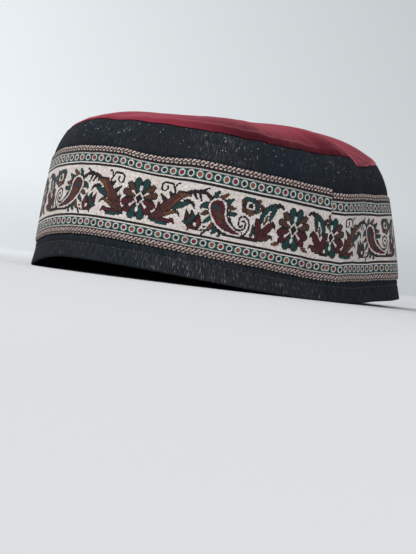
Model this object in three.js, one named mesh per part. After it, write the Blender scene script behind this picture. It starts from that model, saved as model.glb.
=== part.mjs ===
// A soft round cap: a crimson cotton tip, a tall black side band, a woven ribbon round the band and a black
// lining. Millimetres, +Z up. The front of the cap is at -Y, the wearer's left is at +X, and the rim rests on
// z = 0. Angles are in degrees from +X towards the back, +Y, so the front is at -90.
import * as THREE from "three";

// Driving dimensions
const RIM = { halfWidth: 84.5, halfLength: 102 }; // the side band's outer oval, just above the rim
const FOOT = 11.5; // bare band below the ribbon
const RIBBON = { width: 46, thickness: 0.8 };
const HEAD = 15.3; // bare band above the ribbon
// The band leans in towards the seam, bulges a little between, flares at the rim and curls over at the seam.
const BAND = { thickness: 2, lean: 10.8, bulge: 1.2, flare: 1.2, curl: 3.8 };
// The tip domes by rise above a level that slopes up to the back, with a flat top and a round shoulder.
const TIP = { thickness: 1.6, rise: 14.4, flatness: 3.9, shoulder: 0.9 };
const TIP_MIDDLE = { y: -5, level: 74.7, slope: 0.056 };
const GAP = 0.3; // between two layers of cloth
const LINING = { thickness: 1, aboveRim: 3, gap: 0.5 }; // it hangs a little loose
const WALL = FOOT + RIBBON.width + HEAD; // the wall's usual height
const SIDES = 72; // facets round the cap
const FORWARD = 2.4; // moves the uneven oval so that the middle of the cap's box is over the origin

// Slow waves round the cap: how many there are in a turn, where one is highest, and how high it is.
const OVAL_WAVE = { turns: 3, peak: -30, size: 2.4 };
const LEAN_WAVE = { turns: 1, peak: 95, size: 4.5 };
const FOOT_WAVE = { turns: 1, peak: -98, size: 1.1 };
const HEAD_WAVE = { turns: 1, peak: 45, size: 3.3 };

// Stretches of the rim that stand a little off the surface, as soft cloth does.
const RIM_LIFTS = [
  { name: "front_left", start: -107, full: -72, fade: -70, end: 18, lift: 6.9 },
  { name: "back", start: 31, full: 74, fade: 96, end: 134, lift: 4.8 },
];

// Soft folds of the wall. They push it outwards, or inwards where the figure is below zero, by low at the rim
// and by high at the seam, and they pull the seam down by drop.
const WALL_FOLDS = [
  { name: "back_left_ridge", start: 23, full: 31, fade: 33, end: 40, low: 0, high: 1.9, drop: 0 },
  { name: "back_left_hollow", start: 27, full: 44, fade: 50, end: 63, low: -4.1, high: 1.7, drop: 0 },
  { name: "back_left_dent", start: 38, full: 52, fade: 60, end: 96, low: -1.4, high: -5.7, drop: 5.1 },
  { name: "front_left_dip", start: -52, full: -42, fade: -36, end: -24, low: 0, high: -0.9, drop: 0 },
  { name: "right_dip", start: 168, full: 190, fade: 200, end: 226, low: -0.4, high: -1.8, drop: 1 },
];

// Shallow folds of the tip, which sink it, or raise it where the figure is below zero, over its shoulder.
const TIP_FOLDS = [
  { name: "back_left_crease", start: 38, full: 50, fade: 62, end: 88, sink: 2.4 },
  { name: "back_left_crest", start: 22, full: 32, fade: 36, end: 44, sink: -0.7 },
  { name: "left_hollow", start: -14, full: 0, fade: 10, end: 24, sink: 1.3 },
  { name: "front_left_hollow", start: -72, full: -56, fade: -48, end: -32, sink: 0.8 },
  { name: "right_hollow", start: 160, full: 186, fade: 200, end: 232, sink: 1.4 },
  { name: "back_right_crest", start: 112, full: 124, fade: 134, end: 150, sink: -0.6 },
];

const radians = THREE.MathUtils.degToRad;

// An angle within half a turn of the reference angle.
function near(degrees, reference) {
  return reference + THREE.MathUtils.euclideanModulo(degrees - reference + 180, 360) - 180;
}

// How far a fold has come in at this angle, from 0 outside it to 1 along its middle.
function within(row, degrees) {
  const at = near(degrees, (row.start + row.end) / 2);
  const rising = THREE.MathUtils.smoothstep(at, row.start, row.full);
  return rising - rising * THREE.MathUtils.smoothstep(at, row.fade, row.end);
}

function wave(row, degrees) {
  return row.size * Math.cos(radians(row.turns * (degrees - row.peak)));
}

function folds(rows, degrees, amount) {
  return rows.reduce((sum, row) => sum + within(row, degrees) * amount(row), 0);
}

function rimHeight(degrees) {
  return folds(RIM_LIFTS, degrees, (row) => row.lift);
}

// Height of the ribbon's lower edge above the rim.
function footHeight(degrees) {
  return FOOT + wave(FOOT_WAVE, degrees);
}

// Height of the bare band between ribbon and seam.
function headHeight(degrees) {
  return HEAD + wave(HEAD_WAVE, degrees) - folds(WALL_FOLDS, degrees, (row) => row.drop);
}

// Height of the seam between band and tip, above the rim.
function seamHeight(degrees) {
  return footHeight(degrees) + RIBBON.width + headHeight(degrees);
}

// Distance of the band's outer face from the cap's axis, at a height above the rim.
function wallRadius(degrees, height) {
  const cos = Math.cos(radians(degrees));
  const sin = Math.sin(radians(degrees));
  const oval = 1 / Math.hypot(cos / RIM.halfWidth, sin / RIM.halfLength) + wave(OVAL_WAVE, degrees);
  const up = height / WALL;
  const lean = (BAND.lean + wave(LEAN_WAVE, degrees)) * up;
  const bulge = 4 * BAND.bulge * up * (1 - up);
  const flare = BAND.flare * Math.max(0, 1 - height / FOOT) ** 2;
  const curl = BAND.curl * Math.max(0, (height - FOOT - RIBBON.width) / HEAD) ** 2;
  const dents = folds(WALL_FOLDS, degrees, (row) => row.low + (row.high - row.low) * up * up);
  return oval - lean + bulge + flare - curl + dents;
}

function polar(radius, degrees, z) {
  return new THREE.Vector3(radius * Math.cos(radians(degrees)), radius * Math.sin(radians(degrees)), z);
}

// A point of the wall, moved outwards by out.
function wallPoint(degrees, height, out) {
  return polar(wallRadius(degrees, height) + out, degrees, rimHeight(degrees) + height);
}

// A point of the tip: along is 0 at its middle and 1 at the seam. Inner faces are inset from the seam's outer
// edge and lie lower at the middle.
function tipPoint(degrees, along, inset, lower) {
  const seam = wallPoint(degrees, seamHeight(degrees), -inset);
  const point = new THREE.Vector3(0, TIP_MIDDLE.y, 0).lerp(seam, along);
  const level = TIP_MIDDLE.level + TIP_MIDDLE.slope * point.y;
  point.z = level + (seam.z - level) * along ** 2 + GAP;
  const dome = Math.pow(1 - Math.pow(along, TIP.flatness), TIP.shoulder);
  const sunk = folds(TIP_FOLDS, degrees, (row) => row.sink) * Math.sin(Math.PI * along ** 3);
  point.z += (TIP.rise - lower) * dome - sunk;
  return point;
}

// One ring of points round the cap, from a function of the angle.
function ring(pointAt) {
  return Array.from({ length: SIDES }, (_, side) => pointAt((360 * side) / SIDES));
}

// A closed mesh through rings in order. Without poles the last ring joins the first, and with poles the first
// and last rings close onto them.
function shell(rings, poles) {
  const points = rings.flat();
  const faces = [];
  const joins = poles ? rings.length - 1 : rings.length;
  for (let row = 0; row < joins; row++) {
    const below = row * SIDES;
    const above = ((row + 1) % rings.length) * SIDES;
    for (let side = 0; side < SIDES; side++) {
      const next = (side + 1) % SIDES;
      faces.push(below + side, below + next, above + next);
      faces.push(below + side, above + next, above + side);
    }
  }
  if (poles) {
    const last = (rings.length - 1) * SIDES;
    const first = points.push(poles[0]) - 1;
    const end = points.push(poles[1]) - 1;
    for (let side = 0; side < SIDES; side++) {
      const next = (side + 1) % SIDES;
      faces.push(first, next, side);
      faces.push(end, last + side, last + next);
    }
  }
  const geometry = new THREE.BufferGeometry().setFromPoints(points);
  geometry.setIndex(faces);
  geometry.computeVertexNormals();
  return geometry;
}

// Where the wall's rings lie, as functions of the angle that give a height above the rim.
const upRibbon = (step) => (degrees) => footHeight(degrees) + RIBBON.width * step;
const halfFoot = (degrees) => footHeight(degrees) / 2;
const halfHead = (degrees) => seamHeight(degrees) - headHeight(degrees) / 2;
const RIBBON_HEIGHTS = [0, 1 / 3, 2 / 3, 1].map(upRibbon);
const WALL_HEIGHTS = [() => 0, halfFoot, ...RIBBON_HEIGHTS, halfHead, seamHeight];
const LINING_HEIGHTS = [() => LINING.aboveRim, ...RIBBON_HEIGHTS, halfHead];

// Where the tip's rings lie, from the seam inwards: close together on the shoulder.
const TIP_STEPS = [1, 0.96, 0.9, 0.82, 0.7, 0.5, 0.25];

function wallRings(heights, out) {
  return heights.map((height) => ring((degrees) => wallPoint(degrees, height(degrees), out)));
}

function tipRings(inset, lower) {
  return TIP_STEPS.map((along) => ring((degrees) => tipPoint(degrees, along, inset, lower)));
}

function sideBand() {
  return shell([...wallRings(WALL_HEIGHTS, 0), ...wallRings(WALL_HEIGHTS, -BAND.thickness).reverse()]);
}

function ribbon() {
  const outer = wallRings(RIBBON_HEIGHTS, GAP + RIBBON.thickness);
  return shell([...outer, ...wallRings(RIBBON_HEIGHTS, GAP).reverse()]);
}

function crownTip() {
  const inset = BAND.thickness;
  const outer = tipRings(0, 0);
  const inner = tipRings(inset, TIP.thickness);
  const poles = [tipPoint(0, 0, inset, TIP.thickness), tipPoint(0, 0, 0, 0)];
  return shell([...inner.reverse(), ...outer], poles);
}

// The lining follows the inside of the wall and then the inside of the tip, in one piece.
function lining() {
  const outside = BAND.thickness + LINING.gap;
  const inside = outside + LINING.thickness;
  const below = TIP.thickness + LINING.gap;
  const outer = [...wallRings(LINING_HEIGHTS, -outside), ...tipRings(outside, below)];
  const inner = [...wallRings(LINING_HEIGHTS, -inside), ...tipRings(inside, below + LINING.thickness)];
  const poles = [tipPoint(0, 0, inside, below + LINING.thickness), tipPoint(0, 0, outside, below)];
  return shell([...inner.reverse(), ...outer], poles);
}

function mesh(name, geometry, color) {
  const material = new THREE.MeshStandardMaterial({ color, roughness: 0.9, metalness: 0 });
  const made = new THREE.Mesh(geometry, material);
  made.name = name;
  return made;
}

const cap = new THREE.Group();
cap.position.y = -FORWARD;
cap.add(mesh("crown_tip", crownTip(), 0x8a3040));
cap.add(mesh("side_band", sideBand(), 0x26282b));
cap.add(mesh("ribbon", ribbon(), 0xb9a99c));
cap.add(mesh("lining", lining(), 0x1e1a1a));

export default cap;
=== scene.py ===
# %% [markdown]
# # A soft round cap with a woven ribbon
# The real cap has four sewn cloths: a crimson cotton tip, a tall black side band of slubbed cotton, a
# jacquard ribbon sewn round the band, and a black lining. The imported model already holds each of them as a
# plain solid. This lesson gives each one its cloth: the soft creases, the hem with its stitches, the woven
# pattern and the threads. We start by loading the imported model.

# %% Load the imported model
import bisect
import math
from collections import namedtuple
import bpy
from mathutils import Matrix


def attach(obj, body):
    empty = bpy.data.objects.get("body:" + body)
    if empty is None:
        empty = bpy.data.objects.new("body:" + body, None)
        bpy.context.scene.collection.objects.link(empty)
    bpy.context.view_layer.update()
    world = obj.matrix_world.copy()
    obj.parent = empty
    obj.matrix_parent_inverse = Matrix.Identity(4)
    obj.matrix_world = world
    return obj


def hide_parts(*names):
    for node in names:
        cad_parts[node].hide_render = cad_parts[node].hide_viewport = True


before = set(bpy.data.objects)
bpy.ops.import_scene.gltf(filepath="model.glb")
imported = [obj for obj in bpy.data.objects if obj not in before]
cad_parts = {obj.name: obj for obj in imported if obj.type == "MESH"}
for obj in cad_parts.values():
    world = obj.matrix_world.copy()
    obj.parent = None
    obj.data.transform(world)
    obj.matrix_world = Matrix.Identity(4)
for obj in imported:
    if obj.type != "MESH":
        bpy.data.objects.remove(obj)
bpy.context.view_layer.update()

from types import SimpleNamespace

import bmesh
import bpy
from mathutils import Matrix, Vector, noise

MM = 0.001
print("nodes:", sorted(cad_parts))

# %% [markdown]
# ## The camera
# The picture is taken with a long lens from the wearer's left and a little from the front, almost level
# with the table and slightly tilted. A long lens keeps the oval of the cap calm. The tilt is a roll about
# the line of sight, so the camera's axes are worked out first and then turned.

# %% Camera
CAMERA_AT = Vector((977.6, -385.5, 14.2)) * MM
LOOKS_AT = Vector((-1.4, -6.0, 4.7)) * MM
ROLL = math.radians(6.87)
LENS = 125.7
CLIP_START = 0.05


def add_camera(place, target, roll, lens):
    forward = (target - place).normalized()
    right = forward.cross(Vector((0, 0, 1))).normalized()
    axes = Matrix((right, right.cross(forward), -forward)).transposed()
    camera = bpy.data.objects.new("camera", bpy.data.cameras.new("camera"))
    camera.data.lens = lens
    camera.data.clip_start = CLIP_START
    camera.matrix_world = Matrix.Translation(place) @ (axes @ Matrix.Rotation(roll, 3, "Z")).to_4x4()
    bpy.context.scene.collection.objects.link(camera)
    bpy.context.scene.camera = camera


add_camera(CAMERA_AT, LOOKS_AT, ROLL, LENS)
print("camera distance in m:", round((CAMERA_AT - LOOKS_AT).length, 3))

# %% [markdown]
# ## One helper for every cloth
# Cloth starts flat, so every cloth here starts as a flat grid. A function then says where each crossing of
# the grid goes, as hands would lay the cloth round a block. The grid also writes a UV map with the flat
# cloth's own coordinates in metres, so that a weave drawn on that map follows the cloth wherever it bends.

# %% Bend a grid
def bent_grid(columns, rows, place, flat):
    """A grid with its crossings at place(column, row) and flat(column, row) in its UV map."""
    mesh = bmesh.new()
    bmesh.ops.create_grid(mesh, x_segments=columns, y_segments=rows, size=1)
    uv = mesh.loops.layers.uv.new("cloth")
    row_of = mesh.verts.layers.int.new("row")
    for vert in mesh.verts:
        column, row = round((vert.co.x + 1) / 2 * columns), round((vert.co.y + 1) / 2 * rows)
        for loop in vert.link_loops:
            loop[uv].uv = flat(column, row)
        vert[row_of] = row
        vert.co = place(column, row)
    return mesh


def close_up(mesh):
    """Sews meeting edges together and turns every face outwards."""
    bmesh.ops.remove_doubles(mesh, verts=mesh.verts, dist=1e-6)
    bmesh.ops.recalc_face_normals(mesh, faces=mesh.faces)


def make_object(name, mesh):
    for face in mesh.faces:
        face.smooth = True
    data = bpy.data.meshes.new(name)
    mesh.to_mesh(data)
    mesh.free()
    piece = bpy.data.objects.new(name, data)
    bpy.context.scene.collection.objects.link(piece)
    print(name, "faces:", len(data.polygons))
    return piece


# %% [markdown]
# ## The table and its backdrop
# A studio table is one sheet of paper that lies flat and then curves up behind the object, so that no
# horizon line shows. Our grid can do that too: its columns run along the table, round a quarter turn and
# up.

# %% Sweep
SWEEP = SimpleNamespace(near=1.6, far=-1.1, turn=0.6, height=1.6, half_width=2.4, turn_steps=24)
SWEEP_COLUMNS = SWEEP.turn_steps + 2


def sweep_point(column, row):
    side = (2 * row - 1) * SWEEP.half_width
    if column == 0:
        return Vector((SWEEP.near, side, 0))
    if column == SWEEP_COLUMNS:
        return Vector((SWEEP.far - SWEEP.turn, side, SWEEP.turn + SWEEP.height))
    angle = (column - 1) / SWEEP.turn_steps * math.pi / 2
    return Vector((SWEEP.far - SWEEP.turn * math.sin(angle), side, SWEEP.turn * (1 - math.cos(angle))))


def sweep_flat(column, row):
    return column / SWEEP_COLUMNS, row


sweep = make_object("studio_sweep", bent_grid(SWEEP_COLUMNS, 1, sweep_point, sweep_flat))

# %% [markdown]
# ## The shape of the wall
# All four cloths follow one wall, so its shape is written once, in millimetres, with the same sizes as the
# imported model. Angles are in degrees from the wearer's left towards the back, so the front is at -90. Slow
# waves make the oval uneven, and each row of the two small tables is one soft fold: it comes in between
# start and full, and goes out between fade and end.

# %% Wall sizes
RIM_HALF_WIDTH, RIM_HALF_LENGTH = 84.5, 102
FOOT, RIBBON_WIDTH, HEAD = 11.5, 46, 15.3
WALL = FOOT + RIBBON_WIDTH + HEAD
LEAN, BULGE, FLARE, CURL = 10.8, 1.2, 1.2, 3.8
FORWARD = 2.4
BAND_THICK, RIBBON_THICK, GAP = 2, 0.8, 0.3
JOIN_MIDDLE = 22.0  # the angle of the vertical seam, where the ribbon's ends meet

Wave = namedtuple("Wave", "turns peak size")
OVAL_WAVE = Wave(3, -30, 2.4)
LEAN_WAVE = Wave(1, 95, 4.5)
FOOT_WAVE = Wave(1, -98, 1.1)
HEAD_WAVE = Wave(1, 45, 3.3)

Lift = namedtuple("Lift", "start full fade end lift")
RIM_LIFTS = [
    Lift(-107, -72, -70, 18, 6.9),
    Lift(31, 74, 96, 134, 4.8),
]

Fold = namedtuple("Fold", "start full fade end low high drop")
WALL_FOLDS = [
    Fold(23, 31, 33, 40, 0, 1.9, 0),
    Fold(27, 44, 50, 63, -4.1, 1.7, 0),
    Fold(38, 52, 60, 96, -1.4, -5.7, 5.1),
    Fold(-52, -42, -36, -24, 0, -0.9, 0),
    Fold(168, 190, 200, 226, -0.4, -1.8, 1),
]
print("wall in mm:", WALL, "folds:", len(WALL_FOLDS), "lifts:", len(RIM_LIFTS))


# %% [markdown]
# The ribbon was sewn on by hand, so it wanders up and down. A table says how far two lines along it, its
# low and its high ring line, stand above their even height at some angles. The angles run once round from
# the vertical seam, at 22 degrees, where the ribbon's two ends meet at different heights. Its upper border
# is also a little wider on the wearer's left.

# %% Ribbon's way
Shift = namedtuple("Shift", "angle low high")
RIBBON_SHIFTS = [
    Shift(22, -0.3, -1.8), Shift(28, -0.4, -1.6), Shift(32, 0.4, -1.1), Shift(37, 0.9, -0.7),
    Shift(44, 0.8, -0.6), Shift(50, 0.6, -1.2), Shift(56, 0.7, -1.7), Shift(68, 0.6, -1.6),
    Shift(86, 0.3, -1), Shift(110, 0, 0), Shift(260, 0, 0), Shift(267, -0.2, 0),
    Shift(273, -0.2, 0), Shift(278, -0.3, -0.6), Shift(283, -0.4, -0.8), Shift(289, -0.1, -0.5),
    Shift(295, 0.3, -0.1), Shift(302, 0.3, -0.1), Shift(309, 0.2, -1.1), Shift(315, 0.1, -1.3),
    Shift(320, 0, -0.9), Shift(327, 0, 0.1), Shift(336, 0, 0.3), Shift(350, 0.2, 0.3),
    Shift(357, 0.4, 0.5), Shift(363, 0.1, 0.6), Shift(370, 0, 0.35), Shift(376, -0.4, 0.1),
    Shift(382, -0.5, -0.4),
]
LOW_LINE, HIGH_LINE = 0.14, 0.86
HIGH_PULL = 2.5  # the high line's shift acts mostly near the ribbon's upper edge

Stretch = namedtuple("Stretch", "start full fade end")
WIDER = Stretch(-52, -30, 60, 90)
WIDER_SHARES, WIDER_BY = (0.73, 0.775, 0.86, 1), (0, -0.5, 0, 0.9)


def between(x, xs, ys):
    """The value at x on the line through the points of xs and ys, carried on past its ends."""
    i = min(max(bisect.bisect_right(xs, x), 1), len(xs) - 1)
    return ys[i - 1] + (ys[i] - ys[i - 1]) * (x - xs[i - 1]) / (xs[i] - xs[i - 1])


def smoothstep(x, low, high):
    t = min(1, max(0, (x - low) / (high - low)))
    return t * t * (3 - 2 * t)


def within(fold, degrees):
    """How far a fold, or a stretch of the cap, has come in at this angle, from 0 to 1."""
    middle = (fold.start + fold.end) / 2
    at = middle + (degrees - middle + 180) % 360 - 180
    return smoothstep(at, fold.start, fold.full) * (1 - smoothstep(at, fold.fade, fold.end))


def ribbon_shift(degrees, share):
    """How far the ribbon stands above its even height, at a share of its width, from 22 to 382 degrees."""
    i = min(max(bisect.bisect_right(RIBBON_SHIFTS, (degrees,)), 1), len(RIBBON_SHIFTS) - 1)
    before, after = RIBBON_SHIFTS[i - 1], RIBBON_SHIFTS[i]
    eased = smoothstep(degrees, before.angle, after.angle)
    low = before.low + (after.low - before.low) * eased
    high = before.high + (after.high - before.high) * eased
    wider = within(WIDER, degrees) * between(max(share, WIDER_SHARES[0]), WIDER_SHARES, WIDER_BY)
    up = min(1, max(0, (share - LOW_LINE) / (HIGH_LINE - LOW_LINE)))
    return low + (high - low) * up**HIGH_PULL + wider


print("the ribbon wanders by up to", max(abs(size) for row in RIBBON_SHIFTS for size in row[1:]), "mm")


# %% Wall shape
NOISE_RADIUS = 90
SEAM_WAVER = SimpleNamespace(size=0.7, across=8, layer=5)
JOIN_REACH = 4


def wave(row, degrees):
    return row.size * math.cos(math.radians(row.turns * (degrees - row.peak)))


def summed(rows, column, degrees):
    """What the rows of a table of folds add up to at this angle, in one of their columns."""
    return sum(within(row, degrees) * getattr(row, column) for row in rows)


def on_circle(w, layer):
    """Where the noises are read: on a circle round the cap's axis, in a layer of their own."""
    return Vector((w.cos * NOISE_RADIUS, w.sin * NOISE_RADIUS, layer))


def wall_at(degrees):
    """What the wall does at one angle, all the way up."""
    w = SimpleNamespace(cos=math.cos(math.radians(degrees)), sin=math.sin(math.radians(degrees)))
    w.oval = 1 / math.hypot(w.cos / RIM_HALF_WIDTH, w.sin / RIM_HALF_LENGTH)
    w.oval += wave(OVAL_WAVE, degrees)
    w.lean = LEAN + wave(LEAN_WAVE, degrees)
    w.low = summed(WALL_FOLDS, "low", degrees)
    w.high = summed(WALL_FOLDS, "high", degrees)
    w.rim = summed(RIM_LIFTS, "lift", degrees)
    w.foot = FOOT + wave(FOOT_WAVE, degrees)
    w.head = HEAD + wave(HEAD_WAVE, degrees) - summed(WALL_FOLDS, "drop", degrees)
    w.head += SEAM_WAVER.size * noise.noise(on_circle(w, SEAM_WAVER.layer) / SEAM_WAVER.across)
    w.seam = w.foot + RIBBON_WIDTH + w.head
    turn = (degrees - JOIN_MIDDLE) % 360 + JOIN_MIDDLE
    turns = [turn, turn + 360, turn - 360]
    near_join = [t for t in turns if JOIN_MIDDLE - JOIN_REACH < t < JOIN_MIDDLE + 360 + JOIN_REACH]
    w.under = w.foot + min(ribbon_shift(t, 0) for t in near_join)
    w.over = w.foot + RIBBON_WIDTH + max(ribbon_shift(t, 1) for t in near_join)
    return w


FRONT = -90
print("the seam's height at the front in mm:", round(wall_at(FRONT).seam, 1))

# %% [markdown]
# ## Small creases
# Big folds make the outline, but cloth also ripples a little everywhere. The seam at the top eases a
# straight band onto an oval tip, so it puckers in short waves that die out a few millimetres below. Both
# ripples come from Blender's own noise, read at the wall's place, so the band, the ribbon and the lining
# ripple together and never cut through each other.

# %% Creases
RIPPLE = SimpleNamespace(size=0.38, across=26, up=34)
PUCKER = SimpleNamespace(size=0.42, across=5.5, up=7)


def crease(w, height):
    where = on_circle(w, 0)
    ripple = RIPPLE.size * noise.noise(where / RIPPLE.across + Vector((0, 0, height / RIPPLE.up)))
    near_seam = math.exp(-abs(w.seam - height) / PUCKER.up)
    return ripple + PUCKER.size * near_seam * noise.noise(where / PUCKER.across)


def wall_point(w, height, out):
    """A point of the wall in metres, moved out by out."""
    up = height / WALL
    radius = w.oval - w.lean * up + 4 * BULGE * up * (1 - up) + w.low + (w.high - w.low) * up * up
    radius += FLARE * max(0, 1 - height / FOOT) ** 2
    radius -= CURL * max(0, (height - FOOT - RIBBON_WIDTH) / HEAD) ** 2
    radius += out + crease(w, height)
    return Vector((radius * w.cos, radius * w.sin - FORWARD, w.rim + height)) * MM


print("the rim at the front in mm:", [round(x / MM, 1) for x in wall_point(wall_at(FRONT), 0, 0)])

# %% [markdown]
# ## Measuring round the wall
# The ribbon's pattern repeats by length and not by angle. So we walk round the wall at the ribbon's middle,
# add up the steps, and can then ask for the angle at any length. The walk starts at the vertical seam of
# the band, behind the wearer's left temple, where the ribbon's two ends also meet. The ribbon's outer face
# is 0.7 mm above the wall, because the soft band gives way under it.

# %% Walk round
WALK_STEPS = 1440
PRESSED = 0.4
RIBBON_OUT = GAP + RIBBON_THICK - PRESSED


def angles_round(steps):
    """The angles of even steps once round the wall, from the vertical seam."""
    return [JOIN_MIDDLE + 360 * step / steps for step in range(steps)]


def walk_round(out):
    """The angles of even steps round the wall, and the length walked at each."""
    angles = angles_round(WALK_STEPS) + [JOIN_MIDDLE + 360]
    walls = [wall_at(angle) for angle in angles]
    points = [wall_point(w, w.foot + RIBBON_WIDTH / 2, out) for w in walls]
    lengths = [0.0]
    for before, after in zip(points, points[1:]):
        lengths.append(lengths[-1] + (after - before).length / MM)
    return angles, lengths


WALK_ANGLES, WALK_LENGTHS = walk_round(RIBBON_OUT)
ROUND = WALK_LENGTHS[-1]


def angle_at(length):
    turns, rest = divmod(length, ROUND)
    return 360 * turns + between(rest, WALK_LENGTHS, WALK_ANGLES)


print("round the ribbon in mm:", round(ROUND, 1))

# %% [markdown]
# ## The side band
# The band is one strip of black slubbed cotton, doubled at the rim, so it is 2 mm thick with a round edge.
# Its section is a closed path: round the rim, up the outside, over the seam and down the inside. Each stop
# on the path has a level, where 0 is the rim, 1 and 2 are the ribbon's edges and 3 is the seam, with a
# shift upwards and one outwards in millimetres. The grid carries this section all the way round and meets
# itself. A shallow groove runs where the hem is stitched, and another marks the strip's own vertical seam.
# Under the ribbon the soft cloth is pressed in a little, because the ribbon is sewn down tightly.

# %% The band's section
Stop = namedtuple("Stop", "level raise_by out")
Groove = namedtuple("Groove", "depth width")
HEM_AT = 8.0
HEM_GROOVE, SEAM_GROOVE = Groove(0.3, 0.9), Groove(0.45, 0.8)
RIM_ROUND, SEAM_ROUND = BAND_THICK / 2, 0.6
PRESS_STARTS, PRESS_ENDS = (0.9, 1), (2, 2.08)
FACE_DEPTH = 0.01  # a stop less deep than this is on the outer face
BAND_COLUMNS = 560


def level_height(w, level):
    return between(level, (0, 1, 2, 3), (0, w.under, w.over, w.seam))


def evenly(first, last, steps):
    return [first + (last - first) * i / steps for i in range(steps + 1)]


def round_stops(level, centre, radius, angles):
    """Stops on an arc of the section. Centre is (raise_by, out) and 0 degrees points outwards."""
    arc = [math.radians(angle) for angle in angles]
    return [Stop(level, centre[0] + radius * math.sin(a), centre[1] + radius * math.cos(a)) for a in arc]


def band_section():
    outside = evenly(0.14, 0.98, 22) + evenly(1, 2, 8) + evenly(2.03, 2.94, 24)
    inside = evenly(2.9, 2, 3) + evenly(1.7, 1, 2) + evenly(0.8, 0.2, 2)
    stops = round_stops(0, (RIM_ROUND, -RIM_ROUND), RIM_ROUND, evenly(180, 360, 8))
    stops += [Stop(level, 0, 0) for level in outside]
    stops += round_stops(3, (-SEAM_ROUND, -SEAM_ROUND), SEAM_ROUND, evenly(0, 90, 4))
    stops += round_stops(3, (-SEAM_ROUND, SEAM_ROUND - BAND_THICK), SEAM_ROUND, evenly(90, 180, 4))
    return stops + [Stop(level, 0, -BAND_THICK) for level in inside]


def bell(distance, width):
    """A soft hump: 1 at its middle and near 0 at twice its width."""
    return math.exp(-((distance / width) ** 2))


BAND_SECTION = band_section()
print("stops in the band's section:", len(BAND_SECTION))

# %% Side band
BAND_TOP_ROW = max(row for row, stop in enumerate(BAND_SECTION) if stop.level == 3)
BAND_WALLS = [wall_at(angle) for angle in angles_round(BAND_COLUMNS)]


def band_point(column, row):
    w, stop = BAND_WALLS[column % BAND_COLUMNS], BAND_SECTION[row % len(BAND_SECTION)]
    height = level_height(w, stop.level) + stop.raise_by
    out = stop.out
    if out > -FACE_DEPTH:
        out -= PRESSED * smoothstep(stop.level, *PRESS_STARTS) * (1 - smoothstep(stop.level, *PRESS_ENDS))
        along = ROUND * min(column, BAND_COLUMNS - column) / BAND_COLUMNS
        out -= HEM_GROOVE.depth * bell(height - HEM_AT, HEM_GROOVE.width)
        out -= SEAM_GROOVE.depth * bell(along, SEAM_GROOVE.width)
    return wall_point(w, height, out)


def band_flat(column, row):
    w, stop = BAND_WALLS[column % BAND_COLUMNS], BAND_SECTION[row % len(BAND_SECTION)]
    turned = -2 * w.seam if row > BAND_TOP_ROW else 0
    return ROUND * column / BAND_COLUMNS * MM, abs(turned + level_height(w, stop.level)) * MM


side_band_mesh = bent_grid(BAND_COLUMNS, len(BAND_SECTION), band_point, band_flat)
close_up(side_band_mesh)
side_band = make_object("side_band_cloth", side_band_mesh)

# %% [markdown]
# ## The hem's stitches
# A machine holds the hem about 8 mm above the rim. Each stitch is a short thread that dips into the cloth
# at both ends. A small sphere, stretched along the hem, is enough: one is set at each stitch's place and
# turned to the wall there. They are all one piece.

# %% Hem stitches
STITCH = SimpleNamespace(pitch=3.1, half_length=1.25, half_thick=0.24, proud=0.35, sides=6, rings=5)
DEGREES_ASIDE, MM_ABOVE = 0.5, 1


def direction(start, end):
    return (end - start).normalized()


def add_stitch(mesh, degrees):
    w, before, after = (wall_at(degrees + aside) for aside in (0, -DEGREES_ASIDE, DEGREES_ASIDE))
    middle = wall_point(w, HEM_AT, STITCH.half_thick * STITCH.proud - HEM_GROOVE.depth)
    along = direction(wall_point(before, HEM_AT, 0), wall_point(after, HEM_AT, 0))
    up = direction(wall_point(w, HEM_AT - MM_ABOVE, 0), wall_point(w, HEM_AT + MM_ABOVE, 0))
    out = along.cross(up).normalized()
    turn = Matrix((along, out.cross(along), out)).transposed().to_4x4()
    size = Matrix.Diagonal((STITCH.half_length, STITCH.half_thick, STITCH.half_thick, 1))
    spin_to_x = Matrix.Rotation(math.pi / 2, 4, "Y")
    place = Matrix.Translation(middle) @ turn @ size @ Matrix.Scale(MM, 4) @ spin_to_x
    bmesh.ops.create_uvsphere(mesh, u_segments=STITCH.sides, v_segments=STITCH.rings, radius=1, matrix=place)


hem_mesh = bmesh.new()
stitch_count = round(ROUND / STITCH.pitch)
for stitch in range(stitch_count):
    add_stitch(hem_mesh, angle_at(ROUND * (stitch + 0.5) / stitch_count))
bmesh.ops.recalc_face_normals(hem_mesh, faces=hem_mesh.faces)
hem_stitches = make_object("hem_stitches", hem_mesh)
print("stitches:", stitch_count)

# %% [markdown]
# ## The crimson tip
# The tip is an oval of cotton that domes a little, stays flat in its middle and turns down over a round
# shoulder to the seam. Its section runs from the middle of the inside to the seam and back over the outside
# to the middle, so the grid's first and last rows close to two poles. The section's stops say how far along
# they are from middle to seam, how far in from the seam's outer edge, and how much lower than the outside.

# %% Tip sizes
TIP_THICK, TIP_RISE, TIP_FLATNESS, TIP_SHOULDER = 1.6, 14.4, 3.9, 0.9
TIP_MIDDLE_Y, TIP_LEVEL, TIP_SLOPE = -5, 74.7, 0.056

Dip = namedtuple("Dip", "start full fade end sink")
TIP_FOLDS = [
    Dip(38, 50, 62, 88, 2.4),
    Dip(22, 32, 36, 44, -0.7),
    Dip(-14, 0, 10, 24, 1.3),
    Dip(-72, -56, -48, -32, 0.8),
    Dip(160, 186, 200, 232, 1.4),
    Dip(112, 124, 134, 150, -0.6),
]
TIP_RIPPLE = SimpleNamespace(size=0.35, across=34, offset=Vector((3, 7, 1)), fade=8)
SHOULDER_CREASE = SimpleNamespace(along=0.945, width=0.036, height=1.2, where=Stretch(-72, -36, 2, 30))
SHOULDER_BULGE = SimpleNamespace(along=0.965, width=0.02, share=0.008)
TipBend = namedtuple("TipBend", "sink crease")


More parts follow.
